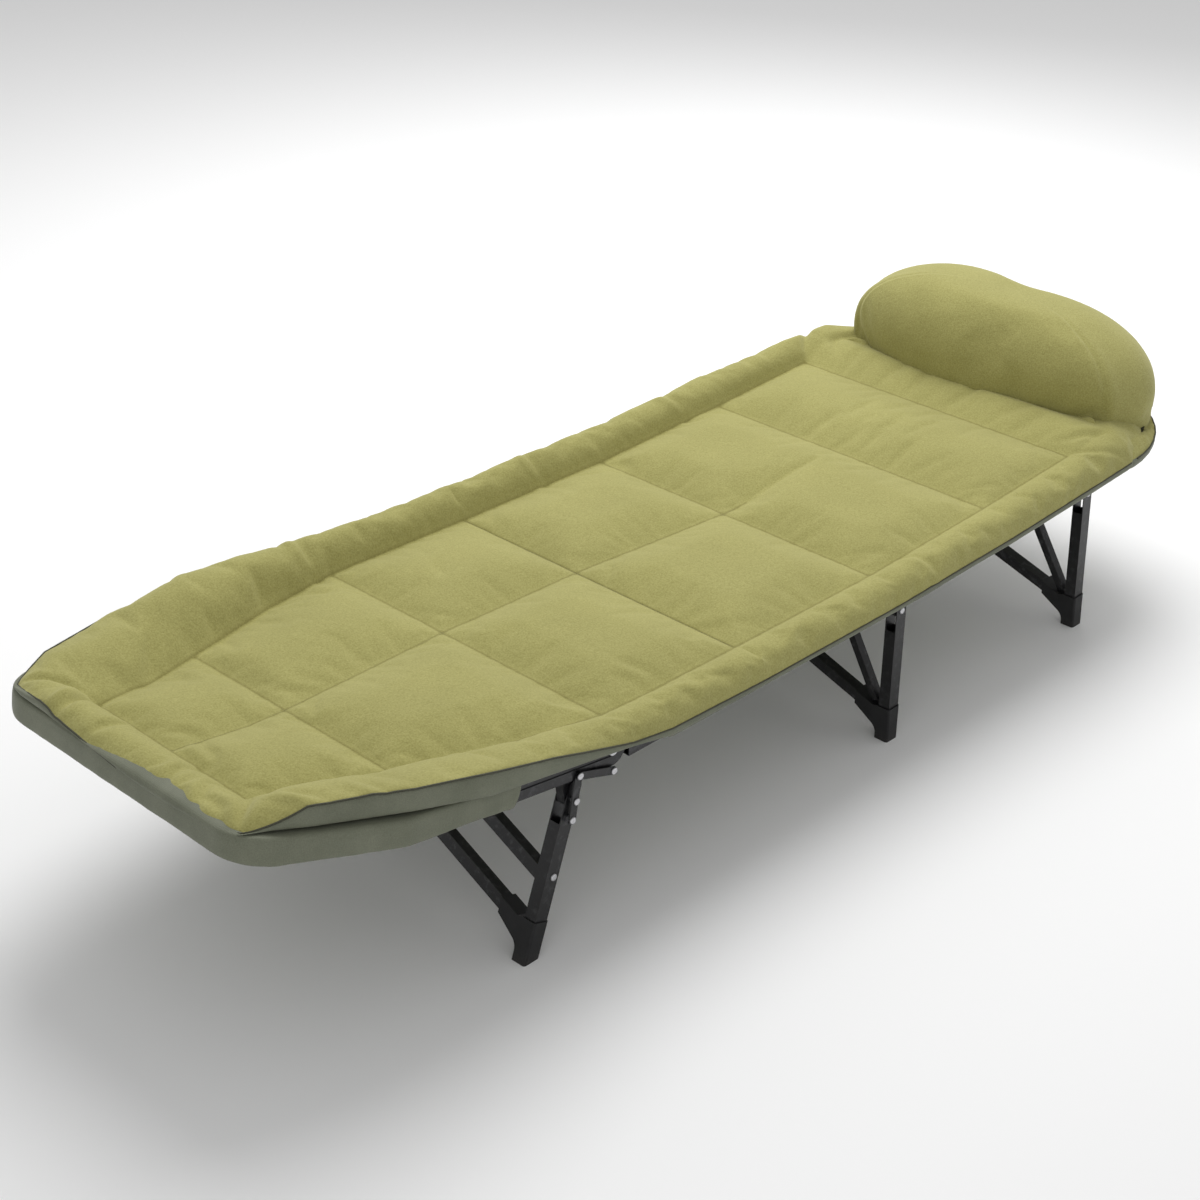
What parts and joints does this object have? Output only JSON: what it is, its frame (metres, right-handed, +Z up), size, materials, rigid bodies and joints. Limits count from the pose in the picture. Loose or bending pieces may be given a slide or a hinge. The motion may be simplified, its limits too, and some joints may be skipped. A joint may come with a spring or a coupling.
{
  "type": "folding cot",
  "caption": "Low folding cot: black steel frame whose foot and head sections fold up over the middle, splayed leg sets, quilted fleece mat and attached pillow roll.",
  "frame": {"origin": "on the floor under the middle of the bed's bounding box", "axes": "+X towards the head end and the pillow, +Y across the bed to its left side as one lies on it, +Z up"},
  "size_m": [1.9132, 0.646, 0.4629],
  "materials": {
    "frame_paint": "satin",
    "cap_plastic": "matte",
    "bare_steel": "satin",
    "fleece": "matte",
    "lining": "matte"
  },
  "bodies": {
    "middle_frame": {"middle_rail_near": "frame_paint", "middle_rail_far": "frame_paint", "middle_cross_tube_foot": "frame_paint", "middle_cross_tube_head": "frame_paint", "foot_hinge_bracket_near": "frame_paint", "foot_hinge_bracket_far": "frame_paint", "head_hinge_bracket_near": "frame_paint", "head_hinge_bracket_far": "frame_paint", "middle_leg_lug_near": "frame_paint", "middle_leg_lug_far": "frame_paint", "foot_hinge_pins": "bare_steel", "head_hinge_pins": "bare_steel", "middle_leg_pins": "bare_steel", "fold_crank_pins": "bare_steel", "mat_middle": "fleece"},
    "foot_frame": {"foot_rail_near": "frame_paint", "foot_rail_far": "frame_paint", "foot_end_tube": "frame_paint", "foot_cross_tube": "frame_paint", "foot_leg_lug_near": "frame_paint", "foot_leg_lug_far": "frame_paint", "foot_leg_pins": "bare_steel", "mat_foot": "fleece", "foot_sleeve": "lining"},
    "head_frame": {"head_rail_near": "frame_paint", "head_rail_far": "frame_paint", "head_end_tube": "frame_paint", "head_cross_tube": "frame_paint", "head_leg_lug_near": "frame_paint", "head_leg_lug_far": "frame_paint", "head_leg_pins": "bare_steel", "mat_head": "fleece", "pillow": "fleece"},
    "foot_leg_set": {"foot_leg_bow": "frame_paint", "foot_leg_upper_bow": "frame_paint", "foot_leg_near": "frame_paint", "foot_leg_far": "frame_paint", "fold_arm_near": "frame_paint", "fold_arm_far": "frame_paint", "foot_leg_cap_near": "cap_plastic", "foot_leg_cap_far": "cap_plastic", "fold_arm_spacers": "bare_steel", "fold_arm_rivets": "bare_steel"},
    "middle_leg_set": {"middle_leg_bow": "frame_paint", "middle_leg_strut": "frame_paint", "middle_leg_near": "frame_paint", "middle_leg_far": "frame_paint", "middle_leg_cap_near": "cap_plastic", "middle_leg_cap_far": "cap_plastic"},
    "head_leg_set": {"head_leg_bow": "frame_paint", "head_leg_strut": "frame_paint", "head_leg_near": "frame_paint", "head_leg_far": "frame_paint", "head_leg_cap_near": "cap_plastic", "head_leg_cap_far": "cap_plastic"},
    "fold_links": {"fold_link_near": "bare_steel", "fold_link_far": "bare_steel", "fold_link_rivets": "bare_steel"}
  },
  "joints": [
    {"name": "foot_fold", "type": "hinge", "parent": "middle_frame", "child": "foot_frame", "pos_m": [-0.4294, 0, 0.258], "axis": [0, 1, 0], "range_deg": [0, 142]},
    {"name": "head_fold", "type": "hinge", "parent": "middle_frame", "child": "head_frame", "pos_m": [0.2286, 0, 0.258], "axis": [0, -1, 0], "range_deg": [0, 95]},
    {"name": "foot_leg_fold", "type": "hinge", "parent": "foot_frame", "child": "foot_leg_set", "pos_m": [-0.49633, 0, 0.21288], "axis": [0, 1, 0], "range_deg": [0, 68.17]},
    {"name": "middle_leg_fold", "type": "hinge", "parent": "middle_frame", "child": "middle_leg_set", "pos_m": [0.1786, 0, 0.22], "axis": [0, 1, 0], "range_deg": [0, 88]},
    {"name": "head_leg_fold", "type": "hinge", "parent": "head_frame", "child": "head_leg_set", "pos_m": [0.66205, 0, 0.24417], "axis": [0, 1, 0], "range_deg": [0, 88]},
    {"name": "link_swing", "type": "hinge", "parent": "middle_frame", "child": "fold_links", "pos_m": [-0.43181, 0, 0.23006], "axis": [0, 1, 0], "range_deg": [0, 79.1]}
  ],
  "couplings": [
    {"joint": "foot_leg_fold", "follows": "foot_fold", "ratio": 0.48},
    {"joint": "link_swing", "follows": "foot_fold", "ratio": 0.557}
  ]
}
